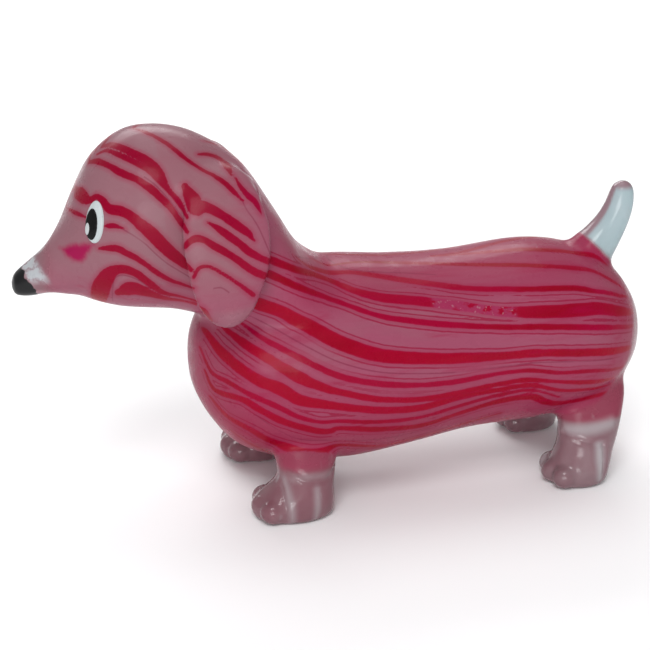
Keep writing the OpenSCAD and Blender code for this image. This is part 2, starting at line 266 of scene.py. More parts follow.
# ---------------------------------------------------------------- the ribbons, in mm on the dog's side
# Each line is x, z and half its width; the number in front is how dark it is
SIDE = [
    (0.5, [(-24, 61.5, 0.5), (-18, 58.4, 0.8), (-12, 55.1, 0.9), (-2, 49.6, 0.9), (6, 47.1, 1.15), (15, 45.6, 1.2),
           (23.5, 44.1, 1.1), (32, 42.6, 1.1), (41, 42.1, 1.4), (50, 41.6, 1.5), (55, 41.1, 1.45), (61, 39.1, 1.2),
           (65, 37.4, 0.7), (67, 36.6, 0.3)]),
    (0.35, [(-26, 58.6, 0.5), (-19.5, 56, 0.8), (-12.5, 52.1, 0.8), (-8, 49.6, 0.7), (-3, 47.1, 0.6), (5, 44.1, 0.6),
            (14, 42.1, 0.7), (23, 40.6, 0.7), (32, 39.6, 0.6), (41, 39.1, 0.65), (50, 38.1, 0.65), (58, 36.6, 0.6),
            (64, 34.8, 0.4), (66.5, 34, 0.2)]),
    (0.8, [(-30, 53.4, 0.5), (-27, 51.8, 0.9), (-21.5, 49.1, 1.5), (-16.5, 47.1, 1.5), (-12.5, 44.6, 1.5),
           (-4.5, 40.1, 1.6), (4, 36.8, 1.5), (13, 35.1, 1.3), (22, 34.1, 1.2), (31, 33.6, 0.95), (40, 33.6, 0.9),
           (49.5, 32.6, 0.9), (58, 31.2, 0.9), (64, 29.8, 0.6), (67, 29.2, 0.2)]),
    (0.3, [(-24.5, 44.2, 0.3), (-21, 41.8, 0.5), (-17, 39.6, 0.6), (-13, 37.4, 0.7), (-5, 33.2, 0.7), (4, 30.6, 0.7),
           (13, 29.2, 0.6), (22, 28.9, 0.6), (31, 29.6, 0.5), (38, 29.7, 0.5), (45, 28.4, 0.5), (53, 27.6, 0.5),
           (61, 25.8, 0.4), (65, 25, 0.2)]),
    (0.75, [(-27.5, 42.2, 0.4), (-24.5, 40.4, 0.9), (-20.5, 38, 1.1), (-17.5, 36.1, 1.1), (-13.5, 33.5, 1.3),
            (-9, 31.2, 1), (-5, 29.7, 0.8), (4, 27, 0.7), (13, 25.8, 0.7), (22, 26, 0.7), (31.5, 27.1, 0.6),
            (38, 27.4, 0.6), (45.5, 26, 0.5), (53, 24.6, 0.6), (60, 23.4, 0.3)]),
    (0.8, [(-30, 39.5, 0.8), (-28, 37, 1.3), (-25, 34.8, 1.3), (-21.5, 32.7, 1.3), (-17.5, 31, 1.4), (-13.5, 28.4, 1.3),
           (-9, 27.2, 1.1), (-5, 26.3, 0.9), (4, 24.4, 0.9), (13, 23.6, 0.9), (22, 24.8, 0.8), (31.5, 25.6, 0.6),
           (38.5, 26, 0.6), (46, 23.6, 0.5), (54, 22.4, 0.5), (60, 21.6, 0.2)]),
    (0.4, [(-31.5, 36, 0.4), (-30, 32.1, 0.5), (-27, 31, 0.6), (-21.5, 28.6, 0.65), (-17.5, 26.6, 0.65), (-13.5, 24.3, 0.6),
           (-9, 22.8, 0.5), (-4.5, 22.6, 0.5), (4.5, 21.3, 0.5), (13.5, 21, 0.5), (23, 22.6, 0.5), (32, 24.2, 0.5),
           (39, 24.6, 0.4), (46, 21.6, 0.3)]),
    (0.7, [(-31, 31.5, 0.4), (-29.5, 28.2, 0.6), (-25, 28, 0.8), (-21.5, 26, 0.9), (-17.5, 23.6, 0.9), (-13, 21.6, 0.9),
           (-9, 20.3, 0.9), (-6.5, 20.1, 0.8), (-4.5, 20.7, 0.7), (4.5, 19.2, 0.8), (14, 18.4, 0.8), (23, 20.3, 0.7),
           (32, 22.4, 0.8), (39, 22.8, 1), (43, 20.6, 1), (47, 19.4, 1), (54, 19.6, 0.7), (60, 19.8, 0.3)]),
    (0.6, [(-30, 25.6, 0.5), (-27.5, 22.6, 0.8), (-23, 20.4, 1), (-19, 17.6, 1.1), (-12.5, 15.1, 1), (-8, 14.8, 0.9),
           (-4, 15.6, 0.6), (2, 14.2, 0.7), (6.5, 13, 0.8), (13, 13.6, 0.8), (20, 14.8, 0.7), (27, 16.6, 0.5),
           (33, 18.4, 0.3)]),
    (0.5, [(-26, 18.2, 0.4), (-20, 13.8, 0.8), (-13, 11, 0.8), (-4, 10.6, 0.7), (4, 9.8, 0.6), (12, 10.4, 0.6), (20, 11.6, 0.6),
           (28, 13.6, 0.5), (36, 15.6, 0.3)]),
]
# Ribbons of the head and ears, on a plane that leans like the cheek: back, up and half width
CHEEK = [
    (0.3, [(-43, 75.3, 0.3), (-39.5, 74, 0.5), (-36.5, 72.5, 0.55), (-33.5, 70.5, 0.55), (-30.5, 68, 0.5), (-27, 65.7, 0.4),
           (-25, 64.7, 0.45), (-22.5, 63, 0.6), (-20.5, 61, 0.5), (-19, 59.5, 0.25)]),
    (0.3, [(-48.5, 71, 0.4), (-46.5, 71.3, 0.75), (-44, 70.5, 0.8), (-41.5, 69.3, 0.85), (-39, 68, 0.95), (-37, 66.5, 1.05),
           (-35.5, 64.8, 0.8), (-34.5, 63.2, 0.45), (-33.5, 61.7, 0.25), (-32, 60, 0.25), (-31, 58.5, 0.3), (-30, 56, 0.3)]),
    (0.2, [(-49, 69.5, 0.35), (-47, 70, 0.5), (-44.5, 69, 0.55), (-42, 67.8, 0.6), (-39.5, 66.5, 0.6), (-37.5, 65, 0.55),
           (-35, 62.5, 0.45), (-33, 60.5, 0.5), (-31.5, 58.5, 0.5), (-30.5, 56.5, 0.3)]),
    (0.5, [(-51, 67.8, 0.5), (-49, 67.8, 0.75), (-46, 66.5, 0.65), (-43.5, 65, 0.75), (-40, 63.5, 0.75), (-37.5, 61.8, 0.85),
           (-35.5, 60, 0.8), (-33.5, 58, 0.7), (-32, 56, 0.7), (-31, 54.5, 0.65), (-30, 53, 0.4)]),
    (0.8, [(-54, 62.5, 0.5), (-53, 61.5, 1.5), (-51.5, 60.2, 1.3), (-50.2, 59.7, 0.8), (-48.7, 60.3, 0.6), (-47.3, 59.5, 0.8),
           (-46, 57.8, 1), (-43.5, 57.2, 1.05), (-41.5, 56.2, 1.05), (-39.5, 54.5, 1.2), (-37.5, 52.8, 1.4), (-35.5, 50.7, 1.45),
           (-33.5, 48.8, 1.3), (-31, 46.8, 1), (-29.5, 45.5, 0.6)]),
    (0.4, [(-56, 58.5, 0.2), (-54, 57.5, 0.4), (-52.5, 56.8, 0.4), (-51, 56.2, 0.3)]),
    (0.45, [(-48, 49.8, 0.3), (-46.3, 49.8, 0.65), (-44.5, 49.7, 0.75), (-42.5, 48.7, 0.7), (-40.5, 47.7, 0.7),
            (-38.5, 46.3, 0.65), (-36.5, 44.8, 0.6), (-34, 43.4, 0.5), (-31.5, 42.5, 0.4), (-29, 41.6, 0.3)]),
    (0.2, [(-47, 54.2, 0.2), (-45.7, 54.3, 0.6), (-44.5, 54.2, 0.5), (-43, 53.7, 0.25)]),
    (0.6, [(-49.5, 39.8, 1.8), (-48.5, 41.8, 2), (-47, 43.9, 1.7), (-45.3, 45.3, 1.2), (-43, 45.5, 1), (-40.5, 44.5, 0.95),
           (-38, 42.5, 0.85), (-35.5, 40.8, 0.6), (-32, 40, 0.45), (-28.5, 39, 0.35)]),
    (0.55, [(-44.6, 41, 1), (-43.1, 41.4, 1.9), (-41.3, 41.5, 2), (-39.5, 41, 1.5), (-37.5, 40.3, 0.95),
            (-35.5, 39.7, 0.7), (-32, 39.2, 0.55), (-29, 38.4, 0.6), (-27, 37, 0.7), (-26, 35, 0.9)]),
    (0.3, [(-30.4, 62, 0.8), (-29.2, 60, 1.6), (-28, 58, 1.8), (-26.3, 58, 1.2), (-24, 57, 1), (-21.5, 55.4, 0.95),
           (-19.5, 54, 0.95), (-17.7, 52.7, 0.8), (-16.7, 51.5, 0.25)]),
    (0.35, [(-25.5, 54.7, 0.3), (-23.5, 53.5, 0.75), (-21.5, 52.1, 0.85), (-19.3, 50.5, 0.8), (-17.5, 49, 0.8),
            (-15.7, 48, 0.75), (-13, 46.8, 0.6)]),
    (0.4, [(-30.2, 50.2, 0.6), (-28.5, 51.5, 0.75), (-26.5, 51.3, 0.7), (-24.5, 50.1, 0.75), (-22, 48.7, 0.75),
           (-19.7, 47.2, 0.75), (-17.5, 45.6, 0.75), (-15.5, 44.5, 0.8), (-13, 43.8, 0.6)]),
    (0.2, [(-28.6, 44, 0.35), (-27.7, 45.5, 0.4), (-26.2, 46, 0.4), (-24.5, 45.5, 0.4), (-22, 44, 0.4), (-19.5, 42.3, 0.45),
           (-17, 40.5, 0.5)]),
    (0.4, [(-27.8, 69.2, 0.3), (-26.5, 69.3, 0.55), (-24.7, 68.9, 0.9), (-23, 67.8, 1.1), (-22, 66.5, 0.95), (-21.4, 65, 0.3)]),
    (0.1, [(-27, 72.4, 0.3), (-25, 72, 0.5), (-23, 71, 0.6), (-21.3, 69.6, 0.5), (-20, 68.3, 0.3)]),
    (0.0, [(-20.7, 64.6, 0.2), (-19.3, 62.3, 0.5), (-17.8, 60.5, 0.7), (-16.3, 59.2, 0.7), (-15.2, 57, 0.3)]),
]
# Bands along the back: x, distance from the middle, half width
BACK = [
    (0.5, [(22, 0.3, 0.3), (28.5, 0.6, 0.6), (37, 2.5, 0.9), (46, 4.5, 1), (52.5, 5, 0.9), (57.5, 5.2, 0.7), (61, 5.8, 0.3)]),
    (0.35, [(-7, 5.5, 0.3), (2, 3, 0.6), (9.5, 2.6, 0.7), (18, 3.6, 0.8), (27, 5.6, 0.7), (35, 8, 0.7), (43.5, 10.3, 0.7),
            (50.5, 10.9, 0.7), (55.5, 10.6, 0.6), (60, 10.8, 0.5), (64, 10, 0.2)]),
    (0.4, [(-12, 13, 0.2), (-9, 11, 0.5), (-6, 9, 0.8), (-0.5, 7, 0.8), (7.5, 8.5, 0.9),
           (16, 10.5, 0.9), (24.5, 12.5, 0.8), (33, 14, 0.7), (42, 15.5, 0.7), (51, 15.5, 0.7), (56, 15, 0.6),
           (61.5, 13, 0.5), (66, 9.5, 0.2)]),
]
# Lines as thin as a hair
HAIRS = [
    [(-24, 46.6), (-18, 43.4), (-11, 39.4), (-4.5, 36), (4, 33.2), (13, 31.8), (22, 31), (31, 31.1), (40, 31.4), (49, 30.6),
     (58, 29.4)],
    [(26, 23.6), (34, 24.8), (40, 25.2), (48, 22.4), (58, 21)],
    [(-12, 57.4), (-6, 53.6), (0, 51.4), (8, 50.2), (20, 49)],
    [(-22, 24.4), (-14, 18.6), (-6, 17.4), (6, 16), (18, 17)],
]
CHEEK_HAIRS = [
    [(-43.5, 53.8), (-42.5, 53.2), (-40.5, 52), (-38.5, 50.5), (-36.7, 48.7), (-34.5, 46.8), (-32, 45.2), (-29.5, 43.7)],
    [(-46.5, 39.5), (-46, 42), (-45.4, 43.7), (-44, 44.4), (-42, 44), (-40, 43.1), (-38.5, 42), (-36.5, 41)],
    [(-38.5, 64), (-36.5, 62.5), (-34, 59.8), (-32, 57.3), (-30.3, 54.8)],
    [(-19, 59.5), (-18, 57.5), (-16.7, 55.7), (-15.5, 53.7), (-14.3, 51), (-13.5, 49)],
    [(-24.5, 41.6), (-23.2, 41.7), (-22, 41)],
]
# Painted highlights on the outer face of the clear legs, and the creases moulded beside them
SHEENS = [
    ([(49.5, 12.9, 0.8), (54, 13.2, 1.2), (58.5, 13.8, 1.1)], 0.7), ([(55.4, 9, 0.8), (55.4, 6, 0.9), (55.3, 2.4, 0.4)], 1),
    ([(-16.4, 9, 0.3), (-16, 5, 0.5), (-15.6, 1, 0.3)], 0.6), ([(-10, 7.2, 0.3), (-10, 3.6, 0.4), (-10.4, 1.2, 0.2)], 0.7),
    ([(-14.8, 9.6, 0.3), (-11, 10.4, 0.5), (-7, 9.8, 0.3)], 0.25)]
CREASES = [[(48, 12), (50.5, 11), (53.5, 10.2), (56, 9.6)], [(56.4, 9.4), (56.5, 6.5), (56.2, 3.5)],
           [(-15.5, 11), (-12.5, 9.4), (-8, 9), (-5, 10.6)], [(-17.2, 7.5), (-17, 4), (-16.6, 1.5)]]
# The planes that ribbons are drawn on, each as two directions for the left half of the dog, turned to +Y
SIDE_PLANE = ((1, 0, 0), (0, 0, 1))
BACK_PLANE = ((1, 0, 0), (0, 1, 0))
CHEEK_PLANE = ((0.97, 0.26, 0), (0.09, -0.34, 0.94))


def resampled(rows, step=0.4):
    s = spline(rows, 12)
    d = np.r_[0, np.cumsum(np.hypot(np.diff(s[:, 0]), np.diff(s[:, 1])))]
    t = np.linspace(0, d[-1], max(8, int(d[-1] / step)))
    return np.stack([np.interp(t, d, s[:, k]) for k in range(s.shape[1])], 1)


def on_plane(points, vectors, plane):
    """Vectors laid on a plane, with the dog's right half folded over its left."""
    fold_over = np.stack([np.ones(len(points)), np.where(points[:, 1] < 0, -1, 1), np.ones(len(points))], 1)
    return (vectors * fold_over) @ np.array(plane, float).T


def off_line(points, normals, rows, plane):
    """How far each point is to one side of a line, and how far past its ends, both over the skin."""
    s = resampled(rows)
    t = np.gradient(s[:, :2], axis=0)
    t /= np.linalg.norm(t, axis=1, keepdims=True)
    uv, lean = on_plane(points, points, plane), on_plane(points, normals, plane)
    beside, past, half = np.full(len(uv), FAR_OFF), np.zeros(len(uv)), np.zeros(len(uv))
    lo, hi = s[:, :2].min(0) - FAR_OFF, s[:, :2].max(0) + FAR_OFF
    for at in np.array_split(np.flatnonzero(((uv > lo) & (uv < hi)).all(1)), 24):
        if not len(at):
            continue
        i = ((uv[at, None] - s[None, :, :2]) ** 2).sum(2).argmin(1)
        off = uv[at] - s[i, :2]
        side = off[:, 0] * -t[i, 1] + off[:, 1] * t[i, 0]
        tilt = np.sqrt(np.clip(1 - (lean[at, 0] * -t[i, 1] + lean[at, 1] * t[i, 0]) ** 2, 0.1, 1))
        beside[at], past[at] = side / tilt, np.maximum(np.abs((off * t[i]).sum(1)) - 0.25, 0)
        if s.shape[1] > 2:
            half[at] = s[i, 2]
    return beside, past, half


def ribbons_on(points, normals, lines, plane):
    best, dark, along = np.full(len(points), FAR_OFF), np.zeros(len(points)), np.zeros(len(points))
    for shade, rows in lines:
        beside, past, half = off_line(points, normals, rows, plane)
        d = np.hypot(beside, past) - half
        nearer = d < best
        best[nearer], dark[nearer], along[nearer] = d[nearer], shade, past[nearer] < 0.1
    return best, dark, along


def hairs_on(points, normals, lines, plane):
    best = np.full(len(points), FAR_OFF)
    for rows in lines:
        beside, past, _ = off_line(points, normals, rows, plane)
        nearer = (np.abs(beside) < np.abs(best)) & (past < 0.3)
        best[nearer] = beside[nearer]
    return best


FAR_OFF = 3.0


def marks(points, normals, face):
    """band: mm outside a ribbon's edge, dark: its shade, hair: mm to one side of a fine line,
    hair_on: 1 beside that line. face is true on the head and ears."""
    band, dark, along = ribbons_on(points, normals, SIDE, SIDE_PLANE)
    band = np.where(normals[:, 2] > 0.9, np.maximum(band, (normals[:, 2] - 0.9) * 30), band)
    b2, d2, _ = ribbons_on(points, normals, BACK, BACK_PLANE)
    on_back = (points[:, 2] > 38) & (normals[:, 2] > 0.45) & (points[:, 0] > -20) & (points[:, 2] < 61)
    b2 = np.where(on_back, b2, FAR_OFF)
    dark = np.where(b2 < band, d2, dark)
    band = np.minimum(band, b2)
    b3, d3, _ = ribbons_on(points, normals, CHEEK, CHEEK_PLANE)
    band, dark = np.where(face, b3, band), np.where(face, d3, dark)
    hair = hairs_on(points, normals, HAIRS, SIDE_PLANE)
    hair = np.where(face, hairs_on(points, normals, CHEEK_HAIRS, CHEEK_PLANE), hair)
    along = along * ~face * (np.abs(normals[:, 1]) > 0.35)
    return band, dark, hair, (np.abs(hair) < 0.8).astype(float), along


# ---------------------------------------------------------------- materials
class Nodes:
    """Short ways to build a material's nodes."""

    def __init__(self, name):
        self.mat = bpy.data.materials.new(name)
        self.mat.use_nodes = True
        self.nt = self.mat.node_tree
        self.out = self.nt.nodes["Material Output"]
        self.bsdf = self.nt.nodes["Principled BSDF"]
        self.where = self.nt.nodes.new("ShaderNodeTexCoord").outputs["Object"]

    def put(self, socket, value):
        if isinstance(value, bpy.types.NodeSocket):
            self.nt.links.new(value, socket)
        elif isinstance(value, (tuple, list)):
            socket.default_value = (*value, 1) if len(value) == 3 and len(socket.default_value) == 4 else value
        else:
            socket.default_value = value

    def node(self, kind, props=(), **inputs):
        n = self.nt.nodes.new("ShaderNode" + kind)
        for k, v in dict(props).items():
            setattr(n, k, v)
        for k, v in inputs.items():
            key = int(k[1:]) if k[0] == "_" else k.replace("_", " ")
            self.put(n.inputs[key], v)
        return n

    def attr(self, name):
        return self.node("Attribute", {"attribute_name": name}).outputs["Fac"]

    def noise(self, scale, detail=2.0, stretch=None, rough=0.5, distort=0.0, shift=0.0):
        at = self.where
        if stretch or shift:
            at = self.node("Mapping", Vector=at, Scale=stretch or (1, 1, 1), Location=(shift, shift, shift)).outputs[0]
        return self.node("TexNoise", Vector=at, Scale=scale, Detail=detail, Roughness=rough, Distortion=distort).outputs["Fac"]

    def math(self, op, a, b=0.0, c=0.0, clamp=False):
        return self.node("Math", {"operation": op, "use_clamp": clamp}, _0=a, _1=b, _2=c).outputs[0]

    def fade(self, x, lo, hi, a=0.0, b=1.0):
        return self.node("MapRange", {"interpolation_type": "SMOOTHSTEP"}, _0=x, _1=lo, _2=hi, _3=a, _4=b).outputs[0]

    def mix(self, f, a, b, blend="MIX"):
        n = self.node("Mix", {"data_type": "RGBA", "blend_type": blend, "clamp_factor": True})
        self.put(n.inputs[0], f), self.put(n.inputs[6], a), self.put(n.inputs[7], b)
        return n.outputs[2]

    def bump(self, height, strength, distance, normal=None):
        n = self.node("Bump", Strength=strength, Distance=distance, Height=height)
        if normal is not None:
            self.put(n.inputs["Normal"], normal)
        return n.outputs[0]

    def set(self, **inputs):
        for k, v in inputs.items():
            self.put(self.bsdf.inputs[k.replace("_", " ")], v)
        return self.mat


PINK, PINK_PALE, PINK_DEEP = (0.26, 0.062, 0.108), (0.226, 0.108, 0.128), (0.252, 0.015, 0.053)
RED, RED_DARK, RED_PINK, RED_DEEP = (0.262, 0.0, 0.012), (0.215, 0.0, 0.01), (0.235, 0.0, 0.03), (0.19, 0.0, 0.016)
# The second colour on the next line is the clear tail's cool tint with painted light shining through it from behind
MILKY, BACKLIT_TAIL_BLUE, MAGENTA, BLACK = (0.265, 0.162, 0.186), (0.39, 0.5, 0.53), (0.26, 0.0, 0.05), (0.004, 0.004, 0.005)
# The first colour on the next line is painted light seen through the clear muzzle tip
PAINTED_BACKLIGHT, HAIR_RED, BLUSH = (0.36, 0.4, 0.42), (0.15, 0.01, 0.035), (0.262, 0.07, 0.1)
# SHEEN is the colour of the painted highlights on the clear legs
ECHO, SHEEN, RIM = (0.22, 0.004, 0.03), (0.5, 0.46, 0.48), (0.3, 0.17, 0.2)


def gel_colour(m):
    """The pink gel with its ribbons, from the band, dark, hair and deep attributes."""
    wander = m.noise(260, 3, shift=0.3)
    band = m.math("MULTIPLY_ADD", wander, 0.4, m.math("SUBTRACT", m.attr("band"), 0.2))
    fine = m.noise(1500, 2, stretch=(0.25, 1, 1))
    band = m.math("MULTIPLY_ADD", fine, 0.24, m.math("SUBTRACT", band, 0.12))
    drift = m.noise(70, 3, stretch=(0.45, 1, 1.4), distort=0.6)
    streak = m.noise(420, 3, stretch=(0.12, 1, 1), rough=0.6)
    pink = m.mix(m.math("MAXIMUM", m.fade(drift, 0.4, 0.75, 0, 0.5), m.attr("pale")), PINK, PINK_PALE)
    pink = m.mix(m.math("MULTIPLY", m.fade(streak, 0.48, 0.75, 0, 0.55), m.math("SUBTRACT", 1, m.attr("pale"))), pink, PINK_DEEP)
    pink = m.mix(m.attr("deep"), pink, PINK_DEEP)
    pink = m.mix(m.fade(band, 0, 1.2, 0.45, 0), pink, PINK_DEEP)
    echo = m.math("ABSOLUTE", m.math("SUBTRACT", m.math("MULTIPLY_ADD", m.noise(60, 2, stretch=(0.3, 1, 1), shift=2.1),
                                                         0.8, band), 1.25))
    broken = m.fade(m.noise(45, 2, stretch=(0.35, 1, 1), shift=3.3), 0.4, 0.5, 0, 0.8)
    pink = m.mix(m.math("MULTIPLY", m.fade(echo, 0.08, 0.26, 1, 0), m.math("MULTIPLY", broken, m.fade(m.attr("along"), 0.6, 1))), pink, ECHO)
    hair = m.math("MULTIPLY", m.fade(m.math("ABSOLUTE", m.attr("hair")), 0.08, 0.24, 0.5, 0),
                  m.math("GREATER_THAN", m.attr("hair_on"), 0.5))
    pink = m.mix(m.math("MULTIPLY", hair, m.fade(m.noise(120, 2), 0.3, 0.5, 0.3, 1)), pink, HAIR_RED)
    red = m.mix(m.math("MULTIPLY_ADD", m.attr("dark"), 0.8, 0.2), RED_PINK, RED)
    red = m.mix(m.fade(m.noise(90, 3, stretch=(0.4, 1, 1), shift=1.7), 0.45, 0.7), red, RED_DARK)
    red = m.mix(m.fade(m.noise(520, 3, stretch=(0.15, 1, 1), shift=0.7), 0.5, 0.8, 0, 0.5), red, (0.27, 0.0, 0.035))
    red = m.mix(m.fade(band, -0.5, 0.05, 0, 0.45), red, (0.25, 0.002, 0.036))
    red = m.mix(m.math("MULTIPLY", m.attr("pale"), 0.8), red, RED_DEEP)
    worn = m.math("MULTIPLY", m.attr("worn"), m.fade(m.noise(800, 4, stretch=(0.6, 1, 1)), 0.36, 0.5))
    red = m.mix(m.math("MULTIPLY", worn, 0.75), red, (0.26, 0.03, 0.085))
    flecks = m.math("MULTIPLY", m.attr("worn"), m.fade(m.noise(1300, 3, shift=0.9), 0.6, 0.68))
    red = m.mix(m.math("MULTIPLY", flecks, 0.8), red, (0.3, 0.1, 0.14))
    return m.mix(m.fade(band, -0.12, 0.12, 1, 0), pink, red)


def skin_material(name):
    m = Nodes(name)
    colour = gel_colour(m)
    cheek = m.math("MULTIPLY_ADD", m.noise(500, 3), 0.9, m.math("SUBTRACT", m.attr("cheek"), 0.45))
    colour = m.mix(m.fade(cheek, -1.2, 0.7, 0.95, 0), colour, MAGENTA)
    clear, tail = m.attr("clear"), m.attr("tail")
    shade = m.fade(m.noise(150, 3, stretch=(1, 1, 0.5), distort=0.4), 0.35, 0.7)
    milky = m.mix(shade, MILKY, (0.34, 0.25, 0.27))
    milky = m.mix(m.attr("blush"), milky, BLUSH)
    # Painted highlights on the clear parts: long upright noise streaks and the sheen strokes, both mixed towards SHEEN
    streak = m.fade(m.noise(230, 2, stretch=(1, 1, 0.22), shift=0.4, distort=0.5), 0.62, 0.74, 0, 0.7)
    milky = m.mix(m.math("MAXIMUM", streak, m.attr("sheen")), milky, SHEEN)
    # The clear tail: its cool tint with painted light from behind, lighter in noisy patches, turning to a pinker RIM at
    # its side edges and tip
    milky = m.mix(tail, milky, m.mix(m.attr("rim"), m.mix(shade, BACKLIT_TAIL_BLUE, (0.43, 0.52, 0.55)), RIM))
    colour = m.mix(clear, colour, milky)
    # Painted light shining through the clear muzzle tip: a pale, patchy strip behind the black nose's top edge
    backlight_patch = m.math("MULTIPLY", m.attr("white"), m.fade(m.noise(700, 4), 0.25, 0.55))
    colour = m.mix(m.math("MULTIPLY", backlight_patch, 0.85), colour, PAINTED_BACKLIGHT)
    nose = m.math("MULTIPLY_ADD", m.noise(420, 4), 3, m.math("SUBTRACT", m.attr("nose"), 1.5))
    black = m.fade(nose, -0.08, 0.08, 1, 0)
    colour = m.mix(black, colour, BLACK)
    glass = m.math("MULTIPLY", clear, m.math("SUBTRACT", 1, m.math("MAXIMUM", black, backlight_patch), clamp=True))
    rough = m.fade(m.noise(300, 4), 0.3, 0.7, m.math("MULTIPLY_ADD", glass, -0.1, 0.24), m.math("MULTIPLY_ADD", glass, -0.18, 0.38))
    pits = m.bump(m.noise(2600, 3), 0.1, 0.00006)
    waves = m.bump(m.noise(210, 2), 0.2, 0.0004, pits)
    scratch = m.noise(3000, 2, stretch=(0.06, 1, 0.3), shift=0.2)
    cut = m.bump(m.fade(scratch, 0.7, 0.78), 0.2, 0.00005, waves)
    return m.set(Base_Color=colour, Roughness=rough, Transmission_Weight=m.math("MULTIPLY", glass, 0.35),
                 IOR=1.38, Specular_IOR_Level=m.fade(clear, 0, 1, 0.1, 0.4), Coat_Weight=0.05, Coat_Roughness=0.1, Normal=cut)


def filling_material():
    m = Nodes("pink gel filling")
    return m.set(Base_Color=gel_colour(m), Roughness=m.fade(m.noise(400, 3), 0.3, 0.7, 0.3, 0.5),
                 Specular_IOR_Level=0.25, Normal=m.bump(m.noise(500, 3), 0.2, 0.0002))


def print_material(name, colour, worn):
    m = Nodes(name)
    patchy = m.fade(m.noise(1500, 4), 0.62, 0.75, 0, 0.6)
    c = m.mix(patchy, colour, worn)
    return m.set(Base_Color=c, Roughness=m.fade(m.noise(900, 2), 0.3, 0.7, 0.12, 0.28), Specular_IOR_Level=0.12, Coat_Weight=0.08,
                 Coat_Roughness=0.06, Normal=m.bump(m.noise(1800, 3), 0.15, 0.00004))


SKIN, FILLING = skin_material("clear skin over ribbons"), filling_material()
WHITE = print_material("white print", (0.43, 0.47, 0.48), (0.35, 0.38, 0.39))
DARK = print_material("black print", (0.004, 0.004, 0.004), (0.02, 0.02, 0.022))
GLINT = print_material("glint print", (0.42, 0.45, 0.46), (0.34, 0.36, 0.37))
PLUG = print_material("plug rubber", (0.3, 0.2, 0.23), (0.24, 0.14, 0.17))

# ---------------------------------------------------------------- creases moulded in the legs
for rows in CREASES:
    beside, past, half = off_line(P, N, rows, SIDE_PLANE)
    outer = (D["legs"] < 1.5) & (P[:, 1] * N[:, 1] > 0) & (np.abs(N[:, 1]) > 0.3)
    P -= N * (outer * 0.4 * np.exp(-(np.hypot(beside, past) / 0.5) ** 2))[:, None]
N = normals_of(P)

# ---------------------------------------------------------------- marks on every point of the skin
x, y, z = P[:, 0], np.abs(P[:, 1]), P[:, 2]
face = (D["ears"] < 1.5) & (y > 6) | (D["head"] < D["trunk"]) & (z > 44) & ((x < -33) | (z > 65)) & (x < -12)
band, dark, hair, hair_on, along = marks(P, N, face)
gel = 1 - ramp(np.minimum(D["trunk"], D["head"]), 0.7, 2.2)
gel = np.maximum(gel, ramp(z, 44, 47) * (x < 0))
tail_mark = ramp((x + z - 110) / math.sqrt(2), -0.5, 0.7) * (x > 54) * (z > 44)
gel = np.where((x > 50) & (z > 42), 1 - tail_mark, gel)
muzzle = ramp(-x, 61, 65)
rump_end = np.hypot(np.maximum(x - 44, 0) / (20.3 + 0.25 * np.maximum(z - 31, 0)), np.minimum(z - 31, 0) / 15.5)
rump = ramp(rump_end, 0.99, 1.06) * (x > 44) * (z < 44)
ear_tip = (D["ears"] < 1.5) * (y > 15) * ramp(-z, -52, -49)
legs_top = ramp(z, 13.5, 15.5) * (z < 30) * (x > 20) + ramp(z, 10.5, 12.5) * (z < 30) * (x < 20)
off_trunk = ramp(np.minimum(D["trunk"], D["head"]), 0.7, 2.2) * (z < 30)
clear = np.clip(np.maximum.reduce([(1 - gel) * (1 - 0.6 * legs_top), muzzle, 0.5 * rump, 0.3 * ear_tip]), 0, 1)
plain = np.maximum.reduce([clear, rump, off_trunk])
band = np.where(plain > 0.5, np.maximum(band, (plain - 0.5) * 4), band)
hair_on = np.where(plain > 0.4, 0, hair_on)
along = np.where(plain > 0.3, 0, along)
blush = legs_top + rump * ramp(z, 14, 17) + 0.7 * (x < -50) + 0.3 * (x < 20) * (z < 14) + 0.25 * (1 - tail_mark)
blush = np.clip(blush, 0, 1)
blush = blush * (1 - 0.75 * ramp(-x, 61, 66))
deep = 0.6 * ramp(-z, -32, -14) + 0.5 * ramp(x, 52, 66) + 0.5 * ramp(z, 43, 50) * ramp(x, -20, -8) + 0.4 * ramp(-x, 8, 26) * ramp(-z, -46, -38)
deep = np.clip((deep + 0.1) * (x > -40), 0, 1)
pale = 0.9 * ramp(-x, 14, 30) * ramp(z, 44, 62)
nose_n = np.array([math.cos(math.radians(30)), 0, math.sin(math.radians(30))])
nose = (P - np.array([-66, 0, 52.2])) @ nose_n
# white: where the painted light through the clear muzzle tip goes, a strip behind the black nose's top edge
white = ramp(nose, 0, 0.4) * (1 - ramp(nose, 3, 4.2)) * ramp(z, 52.5, 54.5) * (x < -60)
beside, past, half = off_line(P, N, [(-56.8, 50, 0.3), (-55, 49.5, 1.5), (-53, 49, 2.2), (-51.2, 49.8, 1.3), (-49.6, 50.6, 0.4)],
                              CHEEK_PLANE)
cheek = np.where(x < -46, np.hypot(beside, past) - half, FAR_OFF)
worn = ramp(x, 17, 18) * (1 - ramp(x, 35, 36)) * (np.abs(z - 46.2 + 0.1 * x) < 2.1)
# sheen: painted highlight strokes on the outward faces of the clear legs
sheen = np.zeros(len(P))
for rows, strength in SHEENS:
    beside, past, half = off_line(P, N, rows, SIDE_PLANE)
    sheen = np.maximum(sheen, strength * (1 - ramp(np.hypot(beside, past) - half, -1, 1.3)))
sheen *= (D["legs"] < 1.5) * (z < 17) * ramp(np.abs(N[:, 1]), 0.2, 0.5) * (P[:, 1] * N[:, 1] > 0)
rim = np.maximum(ramp(-np.abs(N[:, 1]), -0.55, -0.25), ramp(z, 62.2, 63.8)) * tail_mark
MARKS = {"rim": rim, "along": along, "band": band, "dark": dark, "hair": hair, "hair_on": hair_on, "clear": clear, "blush": blush, "nose": nose,
         "white": white, "cheek": cheek, "worn": worn, "deep": deep, "pale": pale, "tail": tail_mark, "sheen": sheen}


